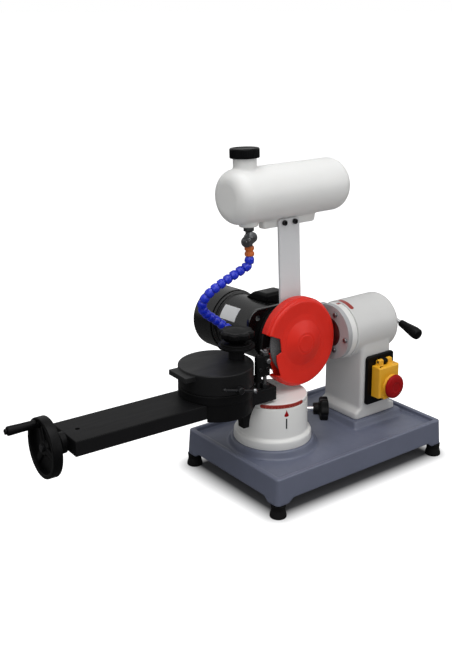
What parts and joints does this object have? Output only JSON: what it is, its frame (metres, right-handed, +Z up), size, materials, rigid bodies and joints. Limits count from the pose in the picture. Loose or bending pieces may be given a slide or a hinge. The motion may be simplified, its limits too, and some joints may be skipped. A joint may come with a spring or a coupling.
{
  "type": "saw blade sharpening machine",
  "caption": "Bench saw blade sharpener: tray base, column with sliding quill, tilting grinding head with guard, motor and coolant tank, and a swivelling slide bar with blade carriage.",
  "frame": {"origin": "centre of the four feet on the floor, under the middle of the tray base", "axes": "+X to the right along the tray's long front, +Y to the back, +Z up"},
  "size_m": [0.8066, 0.3796, 0.5964],
  "materials": {
    "slate_paint": "satin grey-blue paint",
    "white_paint": "smooth white paint",
    "bracket_paint": "satin mid-grey paint",
    "black_paint": "satin black paint",
    "motor_black": "gloss black coating",
    "foot_rubber": "matte black rubber",
    "screw_steel": "bright zinc",
    "inner_steel": "ground steel",
    "chrome": "bright chrome",
    "bronze": "turned bronze",
    "guard_red": "satin red paint",
    "wheel_stone": "diamond cup on a turned body",
    "tank_white": "translucent white plastic",
    "black_plastic": "fine grained black plastic",
    "hose_blue": "blue moulded plastic",
    "fitting_orange": "orange moulded plastic",
    "valve_grey": "dull nickel",
    "switch_yellow": "yellow moulded plastic",
    "stop_red": "crimson moulded plastic",
    "start_green": "green moulded plastic"
  },
  "bodies": {
    "base": {"base_casting": "slate_paint", "rubber_feet": "foot_rubber", "base_screws": "screw_steel", "swivel_seat": "white_paint", "column": "white_paint", "quill_bushes": "bronze", "switch_plate": "black_plastic", "switch_body": "black_plastic", "flap_pin": "screw_steel"},
    "turret_lock": {"turret_lock": "black_plastic"},
    "flap": {"switch_flap": "switch_yellow"},
    "mushroom": {"stop_mushroom": "stop_red"},
    "start_button": {"start_button": "start_green"},
    "stop_button": {"stop_button": "stop_red"},
    "quill": {"quill": "inner_steel", "tilt_bolt": "screw_steel", "stroke_lever": "chrome", "lever_grip": "black_plastic"},
    "head": {"swivel_ring": "white_paint", "head_bracket": "bracket_paint", "head_screws": "screw_steel", "tank_post": "white_paint", "motor_housing": "motor_black", "motor_bearings": "inner_steel", "stator": "inner_steel", "fan_cover": "motor_black", "junction_box": "black_plastic", "guard_back": "guard_red", "guard_cover": "guard_red", "coolant_tank": "tank_white", "filler_neck": "tank_white", "valve_body": "valve_grey", "hose_fitting": "fitting_orange", "coolant_hose": "hose_blue", "hose_nozzle": "hose_blue"},
    "rotor": {"rotor_shaft": "inner_steel", "cooling_fan": "black_plastic", "wheel_flanges": "inner_steel", "grinding_wheel": "wheel_stone", "wheel_nut": "screw_steel"},
    "tank_cap": {"tank_cap": "black_plastic"},
    "valve_handle": {"valve_handle": "valve_grey"},
    "turret": {"turret_plate": "white_paint", "turret_screws": "screw_steel", "slide_bar": "black_paint", "end_bearing": "black_paint", "finger_posts": "chrome"},
    "handwheel": {"lead_screw": "inner_steel", "handwheel": "black_plastic", "handle_spindle": "chrome"},
    "handle_grip": {"handle_grip": "black_plastic"},
    "carriage": {"saddle": "black_paint", "lead_nut": "black_paint", "work_table": "black_paint", "blade_arbor": "black_paint"},
    "clamp_flange": {"clamp_flange": "black_paint"},
    "clamp_knob": {"clamp_knob": "black_plastic"},
    "carriage_lock": {"carriage_lock": "chrome"},
    "finger_clamp": {"finger_clamp": "black_paint"},
    "finger_arm": {"finger_arm": "chrome"}
  },
  "joints": [
    {"name": "flap_hinge", "type": "hinge", "parent": "base", "child": "flap", "pos_m": [0.1192, -0.054, 0.184], "axis": [-1, 0, 0], "range_deg": [0, 100]},
    {"name": "mushroom_press", "type": "slide", "parent": "flap", "child": "mushroom", "axis": [0, 1, 0], "range_m": [0, 0.0025], "stiffness_N_per_m": 600},
    {"name": "start_press", "type": "slide", "parent": "base", "child": "start_button", "axis": [0, 1, 0], "range_m": [0, 0.0025], "stiffness_N_per_m": 400},
    {"name": "stop_press", "type": "slide", "parent": "base", "child": "stop_button", "axis": [0, 1, 0], "range_m": [0, 0.0026], "stiffness_N_per_m": 400},
    {"name": "quill_slide", "type": "slide", "parent": "base", "child": "quill", "axis": [-1, 0, 0], "range_m": [0, 0.015]},
    {"name": "head_tilt", "type": "hinge", "parent": "quill", "child": "head", "pos_m": [0.046, 0.008, 0.241], "axis": [1, 0, 0], "range_deg": [-17, 23]},
    {"name": "wheel_spin", "type": "hinge", "parent": "head", "child": "rotor", "pos_m": [-0.048, 0.0081, 0.243], "axis": [0, 0.9986, -0.0523], "continuous": true},
    {"name": "cap_lift", "type": "slide", "parent": "head", "child": "tank_cap", "axis": [0, 0.0523, 0.9986], "range_m": [0, 0.045]},
    {"name": "valve_turn", "type": "hinge", "parent": "head", "child": "valve_handle", "pos_m": [-0.132, 0.03739, 0.43873], "axis": [-0.6018, -0.7975, 0.0418], "range_deg": [0, 90]},
    {"name": "turret_swivel", "type": "hinge", "parent": "base", "child": "turret", "pos_m": [-0.099, 0.008, 0.149], "axis": [0, 0, -1], "range_deg": [-17.5, 12.5]},
    {"name": "handwheel_turn", "type": "hinge", "parent": "turret", "child": "handwheel", "pos_m": [-0.5397, 0.02416, 0.171], "axis": [0.9993, -0.0366, 0], "range_deg": [0, 14404]},
    {"name": "carriage_slide", "type": "slide", "parent": "turret", "child": "carriage", "axis": [-0.9993, 0.0366, 0], "range_m": [0, 0.2]},
    {"name": "handle_spin", "type": "hinge", "parent": "handwheel", "child": "handle_grip", "pos_m": [-0.57121, 0.03832, 0.20671], "axis": [0.9993, -0.0366, 0], "continuous": true},
    {"name": "clamp_lift", "type": "slide", "parent": "carriage", "child": "clamp_flange", "axis": [0, 0, 1], "range_m": [0, 0.008]},
    {"name": "clamp_turn", "type": "hinge", "parent": "clamp_flange", "child": "clamp_knob", "pos_m": [-0.17945, 0.01095, 0.278], "axis": [0, 0, 1], "range_deg": [0, 1442]},
    {"name": "turret_lock_turn", "type": "hinge", "parent": "base", "child": "turret_lock", "pos_m": [-0.03271, -0.04195, 0.124], "axis": [0.7986, -0.6018, 0], "range_deg": [0, 360]},
    {"name": "table_lock_turn", "type": "hinge", "parent": "carriage", "child": "carriage_lock", "pos_m": [-0.2248, -0.05243, 0.2118], "axis": [-0.0366, -0.9993, 0], "range_deg": [-90, 90]},
    {"name": "finger_height", "type": "slide", "parent": "turret", "child": "finger_clamp", "axis": [0, 0, 1], "range_m": [-0.012, 0.003]},
    {"name": "finger_swing", "type": "hinge", "parent": "finger_clamp", "child": "finger_arm", "pos_m": [-0.14472, -0.02435, 0.249], "axis": [0, 0, 1], "range_deg": [-25, 25], "stiffness_Nm_per_rad": 0.2}
  ],
  "couplings": [
    {"joint": "handwheel_turn", "follows": "carriage_slide", "rad_per_m": 1256.6},
    {"joint": "clamp_turn", "follows": "clamp_lift", "rad_per_m": 3141.6},
    {"joint": "stop_press", "follows": "mushroom_press", "ratio": 1}
  ]
}
